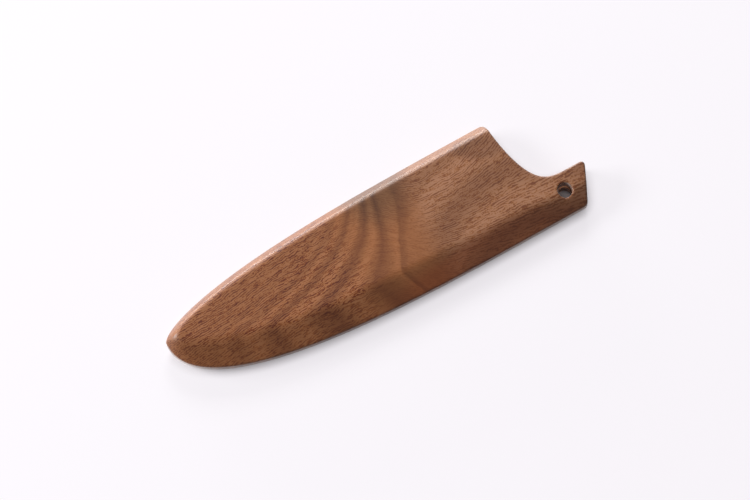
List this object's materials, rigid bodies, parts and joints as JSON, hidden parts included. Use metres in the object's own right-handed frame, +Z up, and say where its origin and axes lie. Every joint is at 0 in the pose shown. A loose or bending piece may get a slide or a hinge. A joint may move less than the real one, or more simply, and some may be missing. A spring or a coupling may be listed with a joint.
{
  "type": "knife blade guard",
  "caption": "Carved wooden knife sheath: two walnut side boards on a core sawn out to the blade's shape, with a belly curve, bevelled faces, a neck notch and a tongue with a peg hole.",
  "frame": {"origin": "under the middle of the guard's bounding box, on the surface that the guard lies on", "axes": "+X from the tip towards the mouth, +Y from the edge side towards the spine side, +Z up through the thickness, square to the boards"},
  "size_m": [0.189, 0.052, 0.013],
  "materials": {
    "front_walnut": "oiled satin walnut",
    "core_walnut": "oiled satin walnut, bare inside the slot",
    "back_walnut": "oiled satin walnut"
  },
  "bodies": {
    "root": {"front_shell": "front_walnut", "core": "core_walnut", "back_shell": "back_walnut"}
  },
  "joints": []
}
